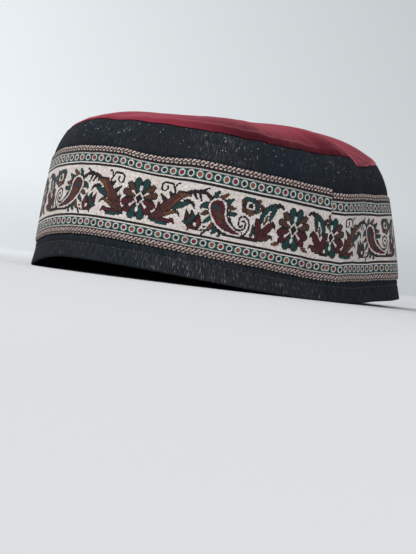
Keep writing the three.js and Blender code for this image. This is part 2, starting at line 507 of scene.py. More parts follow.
def tip_bend(degrees):
    """How deep the tip's folds are, and how high its crease is, at this angle."""
    crease_height = SHOULDER_CREASE.height * within(SHOULDER_CREASE.where, degrees)
    return TipBend(summed(TIP_FOLDS, "sink", degrees), crease_height)


def tip_point(w, bend, along, inset, lower):
    """A point of the tip in metres."""
    seam = wall_point(w, w.seam, -inset) / MM
    middle = Vector((0, TIP_MIDDLE_Y - FORWARD, 0))
    point = middle.lerp(seam, along)
    level = TIP_LEVEL + TIP_SLOPE * (point.y + FORWARD)
    point.z = level + (seam.z - level) * along**2 + GAP
    point.z += (TIP_RISE - lower) * max(0, 1 - along**TIP_FLATNESS) ** TIP_SHOULDER
    point.z -= bend.sink * math.sin(math.pi * along**3)
    point.z += bend.crease * bell(along - SHOULDER_CREASE.along, SHOULDER_CREASE.width)
    point.xy *= 1 + SHOULDER_BULGE.share * bell(along - SHOULDER_BULGE.along, SHOULDER_BULGE.width)
    ripple = noise.noise(Vector((point.x, point.y, 0)) / TIP_RIPPLE.across + TIP_RIPPLE.offset)
    point.z += TIP_RIPPLE.size * ripple * (1 - along**TIP_RIPPLE.fade)
    return point * MM


tip_middle = tip_point(wall_at(FRONT), tip_bend(FRONT), 0, 0, 0)
print("the tip's middle in mm:", [round(x / MM, 1) for x in tip_middle])

# %% Crown tip
TipStop = namedtuple("TipStop", "along inset lower")
TIP_COLUMNS = 400


def tip_section():
    inside = [TipStop(along, BAND_THICK, TIP_THICK) for along in (0, 0.2, 0.45, 0.65, 0.8, 0.9, 0.96, 1)]
    bottom = [TipStop(1, inset, 0) for inset in (1.3, 0.65)]
    shoulder = [TipStop(along, 0, 0) for along in (1, 0.992, 0.983, 0.972, 0.96)]
    outside = [TipStop(along, 0, 0) for along in evenly(0.948, 0.6, 30) + evenly(0.57, 0.03, 18) + [0]]
    return inside + bottom + shoulder + outside


TIP_SECTION = tip_section()
TIP_SIDES = [(wall_at(angle), tip_bend(angle)) for angle in angles_round(TIP_COLUMNS)]


def crown_point(column, row):
    return tip_point(*TIP_SIDES[column % TIP_COLUMNS], *TIP_SECTION[row])


def crown_flat(column, row):
    point = crown_point(column, row)
    return point.x, point.y


crown_mesh = bent_grid(TIP_COLUMNS, len(TIP_SECTION) - 1, crown_point, crown_flat)
close_up(crown_mesh)

# %% [markdown]
# A folded edge of cotton is never sharp. The loop of edges at the seam's outer edge is found by the row
# number that the grid wrote on its vertices, and a small bevel rounds it.

# %% Round the tip's edge
EDGE_ROUND = 0.4


def loop_edges(mesh, row):
    row_of = mesh.verts.layers.int["row"]
    return [edge for edge in mesh.edges if all(vert[row_of] == row for vert in edge.verts)]


seam_row = TIP_SECTION.index(TipStop(1, 0, 0))
seam_loop = loop_edges(crown_mesh, seam_row)
bmesh.ops.bevel(
    crown_mesh, geom=seam_loop, offset=EDGE_ROUND * MM, offset_type="OFFSET", segments=3,
    profile=0.5, affect="EDGES", material=-1, clamp_overlap=True,
)
crown_tip = make_object("crown_tip_cloth", crown_mesh)
print("seam edges rounded:", len(seam_loop))

# %% [markdown]
# ## The lining
# The lining is thin smooth black cloth that hangs half a millimetre inside the band and the tip. It starts
# 3 mm above the rim, so only a strip of it shows where the rim lifts. One grid follows the wall up and the
# tip to its middle, inside and outside, and closes to two poles as the tip did.

# %% Lining
LINING_THICK, LINING_GAP, LINING_ABOVE_RIM = 1, 0.5, 3
LINING_COLUMNS = 240
LINING_OUT = BAND_THICK + LINING_GAP
LINING_BELOW = TIP_THICK + LINING_GAP
LINING_LEVELS = [0.4, 0.7] + evenly(1, 2, 6) + [2.4]
LINING_ALONG = [1, 0.96, 0.9, 0.82, 0.7, 0.5, 0.25, 0]
LINING_STEPS = len(LINING_LEVELS) + len(LINING_ALONG)
LINING_FLAT_STEP = 5
LINING_SIDES = [(wall_at(angle), tip_bend(angle)) for angle in angles_round(LINING_COLUMNS)]


def lining_face(column, step, inwards):
    """A point of the lining's outer face, or of its inner face when inwards is its thickness."""
    w, bend = LINING_SIDES[column % LINING_COLUMNS]
    if step == 0:
        return wall_point(w, LINING_ABOVE_RIM, -LINING_OUT - inwards)
    if step <= len(LINING_LEVELS):
        return wall_point(w, level_height(w, LINING_LEVELS[step - 1]), -LINING_OUT - inwards)
    along = LINING_ALONG[step - 1 - len(LINING_LEVELS)]
    return tip_point(w, bend, along, LINING_OUT + inwards, LINING_BELOW + inwards)


def lining_point(column, row):
    if row <= LINING_STEPS:
        return lining_face(column, LINING_STEPS - row, LINING_THICK)
    return lining_face(column, row - LINING_STEPS - 1, 0)


def lining_flat(column, row):
    return ROUND * column / LINING_COLUMNS * MM, row * LINING_FLAT_STEP * MM


lining_mesh = bent_grid(LINING_COLUMNS, 2 * LINING_STEPS + 1, lining_point, lining_flat)
close_up(lining_mesh)
lining = make_object("lining_cloth", lining_mesh)

# %% [markdown]
# ## Point paper for the ribbon
# A jacquard designer draws on point paper: squared paper in which each cell says which yarn shows there. We
# do the same. The pattern is mirrored about each of two flowers, so only half a repeat is drawn, from the
# middle of flower A to the middle of flower B. That half is 18 rings of the border long. The yarns have
# plain numbers, and the paper is a table of them that starts all cream.

# %% Point paper
YARNS = ["cream", "black", "teal", "pine", "crimson", "maroon", "brown", "umber", "orange", "red"]
YARNS += ["rose", "mauve", "drab", "ash", "orange ring", "red ring", "black ring"]
HALF_REPEAT = 82.5
RING_CELLS, HALF_RINGS = 9, 18
HALF_CELLS = RING_CELLS * HALF_RINGS
CELL = HALF_REPEAT / HALF_CELLS
PAPER_ROWS = 76
ROW = RIBBON_WIDTH / PAPER_ROWS
FIELD = (10.2, 35.8)

paper = [["cream"] * (HALF_CELLS + 1) for _ in range(PAPER_ROWS)]
print("cells:", HALF_CELLS + 1, "by", PAPER_ROWS, "each", round(CELL, 3), "by", round(ROW, 3), "mm")

# %% [markdown]
# ## Brush strokes
# The flowers and leaves are painted with strokes, as on real point paper. A stroke starts, bends and ends,
# and its half width changes from start to middle to end. It is a quadratic Bezier curve stamped with discs.
# An outline is the same stroke painted first in black and a little wider.

# %% Stroke painter
Stroke = namedtuple("Stroke", "yarn start bend end widths outline", defaults=(0,))
STAMP_STEP = 0.15


def stamp(x, y, radius, yarn):
    lowest, highest = int((y - radius) / ROW - 1), int((y + radius) / ROW + 2)
    for row in range(max(0, lowest), min(PAPER_ROWS, highest)):
        up = (row + 0.5) * ROW - y
        if abs(up) > radius or not FIELD[0] < (row + 0.5) * ROW < FIELD[1]:
            continue
        reach = math.sqrt(radius * radius - up * up)
        first, last = math.ceil((x - reach) / CELL), math.floor((x + reach) / CELL)
        for cell in range(max(0, first), min(HALF_CELLS, last) + 1):
            paper[row][cell] = yarn


def paint_stroke(stroke, yarn, extra):
    start, end = Vector(stroke.start), Vector(stroke.end)
    bend = Vector(stroke.bend) if stroke.bend else (start + end) / 2
    steps = max(2, int(((bend - start).length + (end - bend).length) / STAMP_STEP))
    for step in range(steps + 1):
        t = step / steps
        point = start * (1 - t) ** 2 + bend * 2 * t * (1 - t) + end * t * t
        width = between(t, (0, 0.5, 1), stroke.widths)
        stamp(point.x, point.y, width + extra, yarn)


def paint(strokes):
    for stroke in strokes:
        if stroke.outline:
            paint_stroke(stroke, "black", stroke.outline)
        paint_stroke(stroke, stroke.yarn, 0)


print("a stroke is stamped every", STAMP_STEP, "mm")

# %% [markdown]
# ## The two flowers
# Both flowers are the same rosette: two teal petals above and two below, brown petals at the upper sides
# and crimson lobes at the lower sides, each with a dark edge. Cream rays run out from a black diamond in
# the middle. Half a rosette is painted at each end of the paper, and the mirror makes the other half.

# %% Rosettes
PETALS = [
    Stroke("black", (0, 17.0), None, (0, 26.4), (3.0, 4.6, 3.4)),
    Stroke("brown", (3.2, 25.6), None, (5.9, 28.8), (1.1, 1.25, 1.25), 0.6),
    Stroke("brown", (3.0, 24.1), None, (7.6, 24.9), (0.9, 1.35, 1.45), 0.6),
    Stroke("crimson", (3.0, 20.6), None, (7.4, 19.6), (0.9, 1.4, 1.45), 0.6),
    Stroke("crimson", (2.8, 18.8), None, (5.8, 16.2), (1.0, 1.4, 1.4), 0.6),
    Stroke("teal", (0.8, 25.8), None, (2.35, 31.0), (0.5, 1.35, 1.6), 0.6),
    Stroke("teal", (0.9, 18.2), None, (2.55, 13.4), (0.5, 1.35, 1.6), 0.6),
    Stroke("black", (0, 28.0), None, (0, 31.0), (0.4, 0.4, 0.3)),
    Stroke("black", (0, 16.0), None, (0, 13.3), (0.3, 0.6, 0.9)),
    Stroke("black", (3.0, 22.3), None, (7.0, 22.3), (0.6, 0.8, 0.7)),
]
RAYS = [
    Stroke("cream", (0, 25.4), None, (0, 27.4), (0.3, 0.3, 0.3)),
    Stroke("cream", (0, 27.7), None, (0, 28.0), (1.0, 1.05, 1.0)),
    Stroke("cream", (0, 19.0), None, (0, 17.2), (0.3, 0.3, 0.3)),
    Stroke("cream", (0, 16.7), None, (0, 16.1), (0.8, 1.03, 0.8)),
    Stroke("cream", (1.7, 23.7), None, (4.0, 25.6), (0.3, 0.42, 0.65)),
    Stroke("cream", (1.7, 20.6), None, (4.0, 18.4), (0.3, 0.42, 0.6)),
]
FLOWER_MIDDLE = 22.2
Diamond = namedtuple("Diamond", "yarn half_width half_height")
DIAMONDS = [Diamond("cream", 2.7, 4.0), Diamond("black", 1.85, 2.9)]


def mirrored(strokes, x):
    """The strokes mirrored into the paper from a flower that stands at x."""
    def across(point):
        return (x - point[0], point[1]) if point else None

    return [s._replace(start=across(s.start), bend=across(s.bend), end=across(s.end)) for s in strokes]


def paint_diamond(x, diamond):
    for row in range(PAPER_ROWS):
        up = abs((row + 0.5) * ROW - FLOWER_MIDDLE) / diamond.half_height
        for cell in range(HALF_CELLS + 1):
            if up + abs(cell * CELL - x) / diamond.half_width <= 1:
                paper[row][cell] = diamond.yarn


def paint_rosette(petals, rays, x):
    paint(petals)
    paint(rays)
    for diamond in DIAMONDS:
        paint_diamond(x, diamond)


print("strokes in half a rosette:", len(PETALS) + len(RAYS))

# %% [markdown]
# ## Leaves, bud, paisley and vine
# Between the flowers run, in order, a big feathered leaf with curls above it, a round bud, the paisley with
# its spiral tail, a small round flower and a hooked leaf in a crimson cup. Each is a short table of
# strokes. Dark strokes go first, because what is painted later covers them and leaves them as an edge.

# %% Feathered leaf and curls
FEATHER = [
    Stroke("teal", (7.6, 13.6), (11.6, 12.3), (16.2, 12.3), (0.6, 0.8, 0.6), 0.2),
    Stroke("crimson", (7.8, 14.4), (13.0, 13.9), (17.6, 14.0), (0.5, 0.6, 0.7), 0.35),
    Stroke("crimson", (18.2, 14.6), None, (19.6, 14.4), (1.0, 1.15, 0.7)),
    Stroke("crimson", (19.0, 13.9), None, (20.4, 13.2), (0.6, 0.5, 0.35)),
    Stroke("black", (14.0, 22.6), (13.6, 24.6), (10.8, 26.7), (1.5, 1.3, 0.4)),
    Stroke("umber", (14.0, 23.6), None, (11.8, 26.0), (0.7, 0.8, 0.3)),
    Stroke("black", (17.0, 25.6), (16.4, 27.4), (14.7, 28.9), (1.2, 1.1, 0.4)),
    Stroke("bark", (9.6, 15.6), (14.4, 19.8), (21.0, 28.4), (1.2, 2.7, 1.6), 0.4),
    Stroke("bark", (11.0, 15.4), (14.6, 16.8), (17.2, 18.6), (0.8, 1.2, 0.8), 0.3),
    Stroke("bark", (20.4, 28.6), None, (22.6, 28.6), (1.5, 1.5, 1.3), 0.4),
    Stroke("ember", (21.4, 28.2), None, (25.6, 28.8), (1.1, 0.8, 0.5), 0.3),
    Stroke("ember", (16.4, 20.6), (18.6, 23.2), (21.4, 27.2), (0.3, 0.55, 0.8)),
    Stroke("ember", (14.4, 17.3), (17.4, 18.4), (20.6, 19.3), (0.4, 0.75, 0.5), 0.35),
    Stroke("black", (21.0, 19.1), None, (22.2, 17.3), (0.6, 0.5, 0.35)),
    Stroke("teal", (19.0, 20.8), (21.4, 23.3), (24.9, 24.3), (0.6, 1.4, 0.7), 0.4),
    Stroke("black", (22.9, 25.6), (27.8, 26.4), (28.7, 22.6), (0.6, 0.85, 0.4)),
    Stroke("crimson", (9.4, 16.8), (11.2, 18.8), (10.3, 22.6), (0.5, 0.85, 0.3)),
    Stroke("black", (11.2, 22.9), None, (12.0, 18.6), (0.3, 0.4, 0.3)),
]
CURLS = [
    Stroke("black", (17.6, 28.3), (17.2, 31.5), (15.4, 33.3), (0.55, 0.55, 0.5)),
    Stroke("black", (15.4, 33.3), (10.1, 34.2), (10.3, 30.3), (0.5, 0.55, 0.55)),
    Stroke("black", (10.3, 30.3), (10.9, 28.2), (12.6, 28.9), (0.55, 0.55, 0.5)),
    Stroke("black", (12.6, 28.9), (13.6, 29.6), (13.3, 31.3), (0.5, 0.5, 0.6)),
    Stroke("black", (17.1, 31), (17.3, 33.6), (19.0, 33.9), (0.4, 0.45, 0.6)),
]

# %% Vine and bud
VINE = [
    Stroke("black", (24.0, 29.9), (27.4, 31.8), (33.2, 31.2), (0.8, 1.1, 1.0)),
    Stroke("black", (33.2, 31.2), None, (36.8, 28.6), (1.0, 1.0, 0.8)),
    Stroke("maroon", (24.6, 30.2), (27.4, 31.6), (33.3, 31.0), (0.5, 0.6, 0.5)),
    Stroke("maroon", (33.3, 31.0), None, (35.8, 29.4), (0.5, 0.5, 0.4)),
    Stroke("black", (27.2, 30.0), (27.9, 28.8), (29.4, 27.4), (0.8, 0.8, 0.35)),
    Stroke("black", (30.1, 30.2), (30.4, 28.8), (31.6, 26.8), (0.8, 0.7, 0.35)),
    Stroke("black", (30.7, 31.6), None, (33.9, 33.9), (0.7, 0.6, 0.5)),
]
BUD = [
    Stroke("black", (25.1, 21.2), None, (25.8, 18.5), (0.4, 0.8, 1.3)),
    Stroke("black", (27.9, 21.6), None, (28.3, 18.8), (0.4, 0.8, 1.3)),
    Stroke("black", (31.1, 21.0), None, (31.6, 18.0), (0.4, 0.9, 1.4)),
    Stroke("black", (27.4, 16.2), None, (30.6, 15.6), (2.9, 3.4, 2.7)),
    Stroke("teal", (25.0, 15.2), (28.0, 14.8), (28.9, 19.2), (0.6, 1.0, 0.8), 0.35),
    Stroke("crimson", (25.9, 18.8), (26.4, 17.7), (27.4, 17.0), (0.6, 0.75, 0.65)),
    Stroke("crimson", (27.9, 13.3), None, (29.8, 13.1), (0.7, 0.9, 0.8), 0.4),
    Stroke("crimson", (31.7, 18.4), (32.8, 16.0), (32.2, 14.0), (0.6, 0.85, 0.7), 0.5),
    Stroke("red", (31.7, 16.8), None, (32.1, 15.8), (0.5, 0.65, 0.55)),
    Stroke("cream", (30.4, 15.3), None, (30.8, 14.8), (0.75, 0.85, 0.75)),
    Stroke("black", (27.5, 11.2), None, (28.0, 12.6), (0.4, 0.4, 0.4)),
    Stroke("black", (30.8, 12.4), (33.2, 12.1), (35.3, 13.0), (0.5, 0.5, 0.45)),
    Stroke("black", (34.7, 10.9), (36.0, 12.2), (37.8, 14.6), (0.55, 0.6, 0.5)),
    Stroke("brown", (35.1, 14.6), None, (35.7, 14.7), (0.6, 0.6, 0.6)),
    Stroke("orange", (37.9, 13.8), None, (39.0, 16.8), (0.7, 0.8, 0.7), 0.35),
]

# %% Paisley
PAISLEY_LEAVES = [
    Stroke("teal", (31.8, 23.9), (33.3, 25.8), (36.8, 25.8), (0.5, 1.4, 1.0), 0.3),
    Stroke("brown", (32.8, 20.3), (34.5, 21.6), (37.1, 23), (0.4, 1.0, 0.9), 0.25),
    Stroke("teal", (34.6, 16.6), (36.2, 18.2), (38.0, 20), (0.4, 1.1, 0.9), 0.25),
    Stroke("teal", (37.7, 30.2), (38.1, 31.6), (39.4, 33.4), (0.9, 1.0, 0.3), 0.35),
    Stroke("ember", (40.6, 30.2), (42.2, 31.4), (43.9, 32.8), (0.8, 0.95, 0.45), 0.35),
    Stroke("teal", (43.4, 28.6), (44.9, 29.0), (46.9, 30.8), (0.9, 1.2, 0.3), 0.35),
    Stroke("brown", (45.3, 26.8), (46.6, 26), (48.8, 26.7), (0.8, 1.0, 0.3), 0.35),
    Stroke("teal", (46.6, 23.9), (48.2, 22.8), (50.0, 24.0), (0.8, 0.95, 0.3), 0.35),
    Stroke("teal", (41.0, 16.4), (41.4, 13.8), (39.8, 12.4), (1.0, 1.3, 0.5), 0.25),
    Stroke("teal", (43.4, 15.2), (44.4, 13.2), (43.3, 11.4), (1.0, 0.9, 0.4), 0.25),
]
PAISLEY_BODY = Stroke("crimson", (40.1, 25.4), (41.6, 15.9), (53.6, 14.3), (3.8, 2.3, 0.35))
PAISLEY_SPOTS = [
    Stroke("teal", (38.6, 26.8), (38.0, 25.2), (38.4, 24.2), (0.55, 0.6, 0.5)),
    Stroke("teal", (39.0, 25.8), None, (41.4, 24.4), (0.6, 0.7, 0.5)),
    Stroke("brown", (40.2, 22.6), None, (43.0, 21.2), (1.2, 1.3, 0.9)),
    Stroke("brown", (41.0, 19.8), None, (43.4, 19.0), (0.7, 0.8, 0.6)),
    Stroke("red", (42.4, 18.3), None, (43.2, 17.9), (0.55, 0.65, 0.55)),
    Stroke("teal", (44.4, 18.3), None, (45.0, 18.0), (0.7, 0.75, 0.7)),
    Stroke("teal", (46.0, 16.8), None, (46.9, 16.4), (0.5, 0.6, 0.5)),
]
SPIRAL = [
    Stroke("black", (41.6, 15.2), (44.4, 12.2), (48.4, 12.6), (0.4, 0.5, 0.5)),
    Stroke("black", (47.9, 12.6), (56.0, 11.5), (57.6, 17), (0.55, 0.5, 0.5)),
    Stroke("black", (57.6, 17), (58.5, 22.6), (54.6, 23.5), (0.5, 0.5, 0.5)),
    Stroke("black", (54.6, 23.5), (51.3, 23.6), (52.1, 19.8), (0.5, 0.5, 0.5)),
    Stroke("black", (52.1, 19.8), (52.7, 17.6), (54.3, 18.6), (0.5, 0.5, 0.6)),
    Stroke("black", (46.8, 21.8), (50.2, 15.8), (53.2, 16.3), (0.48, 0.48, 0.48)),
    Stroke("black", (53.2, 16.3), (56.7, 17.2), (55.7, 20), (0.48, 0.48, 0.48)),
    Stroke("black", (55.7, 20), (55.0, 21.6), (53.8, 20.9), (0.48, 0.48, 0.55)),
]

# %% Small flower and hooked leaf
SMALL_FLOWER = [
    Stroke("brown", (52.9, 31.4), None, (53.2, 30.6), (1.2, 1.3, 1.2), 0.45),
    Stroke("maroon", (52.9, 29.6), None, (53.4, 28.6), (1.0, 1.1, 1.0), 0.3),
    Stroke("teal", (53.7, 32.6), (56.3, 33.2), (59.0, 31.6), (0.9, 1.0, 0.9), 0.45),
    Stroke("teal", (59.0, 31.6), (60.7, 29), (59.8, 26.8), (0.9, 0.95, 0.7), 0.35),
    Stroke("brown", (53.6, 27.2), None, (54.6, 26.8), (1.2, 1.3, 1.2), 0.45),
    Stroke("ember", (56.0, 26.4), None, (57.6, 26.2), (1.2, 1.4, 1.2), 0.5),
    Stroke("black", (55.8, 29.8), None, (56.7, 29.4), (1.3, 1.35, 1.1)),
    Stroke("cream", (56.2, 31.4), (53.6, 30.4), (55.2, 28.2), (0.4, 0.5, 0.5)),
    Stroke("cream", (55.2, 28.2), None, (57.7, 28.0), (0.5, 0.5, 0.4)),
    Stroke("ember", (60.3, 33.2), None, (61.2, 32.4), (0.55, 0.7, 0.5), 0.25),
    Stroke("brown", (60.1, 31.0), None, (61.5, 30.8), (0.6, 0.75, 0.6), 0.2),
    Stroke("crimson", (62.1, 30.5), None, (63.8, 29.5), (0.7, 0.9, 0.7), 0.2),
    Stroke("orange", (62.5, 28.6), None, (61.3, 27.4), (0.5, 0.65, 0.5), 0.2),
]
HOOKED_LEAF = [
    Stroke("crimson", (61.7, 22.9), (62.6, 19.5), (64.0, 15.2), (1.0, 1.4, 1.9), 0.5),
    Stroke("crimson", (69.8, 22.4), (68.4, 20.8), (65.2, 16.4), (1.1, 1.7, 1.9), 0.5),
    Stroke("black", (70.4, 22.6), (71.8, 22.2), (71.6, 20.2), (0.8, 0.6, 0.3)),
    Stroke("black", (65.2, 19.2), None, (66.4, 16.2), (0.2, 0.3, 0.3)),
    Stroke("black", (53.3, 12.9), (58.3, 13.1), (63.3, 13.0), (0.6, 0.8, 0.8)),
    Stroke("maroon", (57.3, 13.2), None, (62.3, 13.4), (0.3, 0.4, 0.6)),
    Stroke("bark", (65.4, 14.0), (67.8, 14.6), (70.3, 16.2), (0.9, 1.15, 0.5), 0.4),
    Stroke("black", (70.5, 16.4), None, (71.6, 14.9), (0.5, 0.5, 0.35)),
    Stroke("teal", (59.8, 14.9), (60.8, 16.8), (59.9, 19.8), (0.65, 0.8, 0.35), 0.25),
    Stroke("teal", (63.7, 23.3), (64.0, 30.6), (71.4, 32.3), (0.8, 1.35, 0.8), 0.5),
    Stroke("teal", (69.4, 30.6), (69.1, 27.8), (68.1, 24.4), (1.4, 0.9, 0.5), 0.45),
    Stroke("maroon", (71.8, 32.5), (73.4, 32.7), (74.5, 31.4), (0.8, 0.7, 0.4), 0.35),
    Stroke("black", (69.6, 28.8), None, (70.5, 27.8), (0.4, 0.45, 0.35)),
    Stroke("cream", (65.1, 20.2), (65.7, 25.0), (67.5, 28.8), (0.35, 1.0, 0.3)),
    Stroke("ember", (65.5, 21.6), None, (66.7, 26.2), (0.4, 0.6, 0.4), 0.2),
    Stroke("ember", (72.3, 12.6), (73.6, 13.3), (75.0, 13.9), (0.4, 0.85, 0.8), 0.3),
]
BEFORE_BODY = [FEATHER, CURLS, VINE, BUD, PAISLEY_LEAVES]
AFTER_BODY = [PAISLEY_SPOTS, SPIRAL, SMALL_FLOWER, HOOKED_LEAF]
print("strokes between the flowers:", sum(len(strokes) for strokes in BEFORE_BODY + AFTER_BODY) + 1)

# %% Paint the field
PAISLEY_EDGES = [("black", 1.55), ("cream", 0.85), ("crimson", 0)]


def paint_field():
    for strokes in BEFORE_BODY:
        paint(strokes)
    for yarn, extra in PAISLEY_EDGES:
        paint_stroke(PAISLEY_BODY, yarn, extra)
    for strokes in AFTER_BODY:
        paint(strokes)
    paint_rosette(PETALS, RAYS, 0)
    paint_rosette(mirrored(PETALS, HALF_REPEAT), mirrored(RAYS, HALF_REPEAT), HALF_REPEAT)


paint_field()
painted = sum(cell != "cream" for row in paper for cell in row)
print("painted share of the paper:", round(painted / (PAPER_ROWS * (HALF_CELLS + 1)), 2))

# %% [markdown]
# ## The borders
# Both edges of the ribbon have a border, from the edge inwards: twisted cords, a black and a pale line, a
# teal band with a ring every 9 cells, then a cream and a black line. The cords are not mirrored: on both
# edges a row of beads lies under a dark row and then slanting stitches. Rings are finer than a cell, so the
# paper only says which dot a ring has, orange, red or black in turn, and the ribbon's material will draw
# the ring.

# %% Border cells
BORDER_ROWS, RING_ROWS = 17, range(7, 14)
PALE_ROWS = {6: "ash", 14: "cream"}
RING_DOTS = ("orange ring", "red ring", "black ring")
LOW_CORDS, HIGH_CORDS = 5, 4
BEADS = "rrrkkrrkk"  # r is a rose cell and k a dark one


def cords(row, cell):
    """The yarn of a cord cell. Row counts upwards in both borders."""
    if row == 0:
        return "rose" if BEADS[cell % RING_CELLS] == "r" else "umber"
    slant = (2 * cell - 3 * row) % RING_CELLS
    if row == 1:
        return "drab" if slant < 5 else "umber"
    return "rose" if slant < 3 else "mauve" if slant < 5 else "umber"


def border(row, cell):
    """The yarn of a border cell inside the cords. Row counts from the nearer edge."""
    if row in RING_ROWS:
        return RING_DOTS[round(cell / RING_CELLS) % len(RING_DOTS)]
    return PALE_ROWS.get(row, "black")


print("border rows:", BORDER_ROWS, "of which with rings:", len(RING_ROWS))

# %% [markdown]
# Coloured yarn in the field is bound down by another yarn along slanting lines, which weavers call a twill.
# Each paint of the paper therefore stands for three yarns, which take turns along a row and move on by one
# cell from row to row. The twill slants the same way all along, also where the pattern is mirrored.

# %% Look a cell up
TWILL = {
    "teal": ("teal", "teal", "pine"),
    "crimson": ("crimson", "crimson", "maroon"),
    "brown": ("brown", "brown", "umber"),
    "orange": ("orange", "brown", "umber"),
    "red": ("red", "red", "crimson"),
    "bark": ("brown", "umber", "crimson"),
    "ember": ("orange", "brown", "umber"),
}


def fold_cell(cell):
    """The cell of the half repeat that a cell of the whole ribbon mirrors."""
    return abs((cell + HALF_CELLS) % (2 * HALF_CELLS) - HALF_CELLS)


def yarn_at(cell, row):
    """The yarn that shows in a cell of the whole ribbon. Cells count from a flower A."""
    edge = min(row, PAPER_ROWS - 1 - row)
    if row < LOW_CORDS:
        return cords(row, cell)
    if row >= PAPER_ROWS - HIGH_CORDS:
        return cords(row - PAPER_ROWS + HIGH_CORDS, cell)
    if edge < BORDER_ROWS:
        return border(edge, fold_cell(cell))
    yarn = paper[row][fold_cell(cell)]
    return TWILL[yarn][(cell - row) % 3] if yarn in TWILL else yarn


print("a row of the cords:", [yarn_at(cell, 3)[:2] for cell in range(12)])

# %% [markdown]
# ## The ribbon
# One ribbon goes once round. It starts under its own end, behind the wearer's left temple, with the middle
# of a flower A, and runs round the back to the front. The cells are even where the front and the left side
# show them. On the far side they are drawn a little closer, so that a whole number of repeats fits. Knots
# give the length round the wall at some cells, and the cells between two knots share the stretch evenly.

# %% Ribbon route
START_FLOWER = 0.8
FRONT_TO_END = 106.25
FRONT_FLOWER = ROUND - FRONT_TO_END
REPEATS = 3
ENDS_SPARE = 12
LAST_CELL = 2 * HALF_CELLS * REPEATS
EVEN_BEHIND, EVEN_IN_FRONT, EVEN_TO_END = 170, 190, 230
CELL_KNOTS = [-ENDS_SPARE, EVEN_BEHIND, LAST_CELL - EVEN_IN_FRONT, LAST_CELL + EVEN_TO_END]
LENGTH_KNOTS = [
    START_FLOWER - ENDS_SPARE * CELL,
    START_FLOWER + EVEN_BEHIND * CELL,
    FRONT_FLOWER - EVEN_IN_FRONT * CELL,
    FRONT_FLOWER + EVEN_TO_END * CELL,
]
END_CELL = LAST_CELL + round(FRONT_TO_END / CELL) + ENDS_SPARE
RIBBON_COLUMNS = END_CELL + ENDS_SPARE
print("ribbon columns:", RIBBON_COLUMNS)

# %% [markdown]
# Where the ends meet, the upper end is folded under, so it stands a little proud. The grid's rows go up the
# outside, over the edge and down the inside, so the strip is closed along its length, and its two ends are
# cut on a slant with a plane and then filled.

# %% Ribbon grid
END_PROUD, PROUD_FADES = 0.4, 9
RIBBON_INNER_STEPS = 4
RIBBON_ROWS = PAPER_ROWS + RIBBON_INNER_STEPS + 2
UPRIGHT_HEIGHT = 22
LEANS_FROM_START = {0: 0.15, 60: 0.09, 140: 0.03}
LEANS_TO_END = {150: 0.03, 106: 0.085, 85: 0.08, 66: 0.105, 35: 0.17, 24: 0.2, 0: 0.2}
LEAN_LENGTHS = list(LEANS_FROM_START) + [ROUND - to_end for to_end in LEANS_TO_END]
THREAD_LEANS = list(LEANS_FROM_START.values()) + list(LEANS_TO_END.values())
ROW_WAVER = SimpleNamespace(size=0.18, across=9, layer=2, squash=0.6)
EDGE_ROLL = {0: 0.35, 1: 0.12}


def ribbon_length(column):
    return between(column - ENDS_SPARE, CELL_KNOTS, LENGTH_KNOTS)


def ribbon_wall(length, up):
    """The wall where a warp thread passes at up above the ribbon's lower edge. Threads lean a little."""
    lean = between(length, LEAN_LENGTHS, THREAD_LEANS)
    return wall_at(angle_at(length + lean * (up - UPRIGHT_HEIGHT)))


def ribbon_point(column, row):
    row %= RIBBON_ROWS
    length = ribbon_length(column)
    proud = END_PROUD * smoothstep(length, ROUND - PROUD_FADES, ROUND - 1)
    if row <= PAPER_ROWS:
        share, out = row / PAPER_ROWS, RIBBON_OUT - EDGE_ROLL.get(min(row, PAPER_ROWS - row), 0)
    else:
        share, out = 1 - (row - PAPER_ROWS - 1) / RIBBON_INNER_STEPS, RIBBON_OUT - RIBBON_THICK
    w = ribbon_wall(length, RIBBON_WIDTH * share)
    shift_by = ribbon_shift(angle_at(length), share)
    where = Vector((length, share * RIBBON_WIDTH * ROW_WAVER.squash, ROW_WAVER.layer))
    waver = ROW_WAVER.size * noise.noise(where / ROW_WAVER.across)
    return wall_point(w, w.foot + RIBBON_WIDTH * share + shift_by + waver, out + proud)


def ribbon_flat(column, row):
    return column * CELL * MM, min(row, PAPER_ROWS) * ROW * MM


ribbon_mesh = bent_grid(RIBBON_COLUMNS, RIBBON_ROWS, ribbon_point, ribbon_flat)
print("ribbon grid:", len(ribbon_mesh.faces), "faces")

# %% [markdown]
# Before the strip is sewn up, each face takes its yarn from the point paper. The yarn's number is written
# on the face as an attribute that the material can read. The faces still know their cell, because the UV
# map counts cells.

# %% Yarns on the faces
def write_yarns(mesh):
    uv = mesh.loops.layers.uv["cloth"]
    yarn_layer = mesh.faces.layers.float.new("yarn")
    for face in mesh.faces:
        u, v = (sum(loop[uv].uv[axis] for loop in face.loops) / len(face.loops) for axis in (0, 1))
        cell, row = math.floor(u / MM / CELL) - ENDS_SPARE, math.floor(v / MM / ROW)
        face[yarn_layer] = YARNS.index(yarn_at(cell, min(PAPER_ROWS - 1, row)))
    print("yarns on the ribbon:", len({face[yarn_layer] for face in mesh.faces}), "of", len(YARNS))


write_yarns(ribbon_mesh)
bmesh.ops.remove_doubles(ribbon_mesh, verts=ribbon_mesh.verts, dist=1e-6)

# %% Cut the slanted ends
JOIN_TOP, JOIN_BOTTOM = 24.3, 19.2
JOIN_HALF_GAP = 0.03
FIRST_COLUMNS = (0, 2 * ENDS_SPARE + 6)
LAST_COLUMNS = (RIBBON_COLUMNS - 2 * ENDS_SPARE - 8, RIBBON_COLUMNS)


def join_plane():
    top, bottom = wall_at(JOIN_TOP), wall_at(JOIN_BOTTOM)
    high = wall_point(top, top.foot + RIBBON_WIDTH, 0)
    low = wall_point(bottom, bottom.foot, 0)
    outwards = Vector((top.cos, top.sin, 0))
    return (high + low) / 2, (high - low).cross(outwards).normalized()


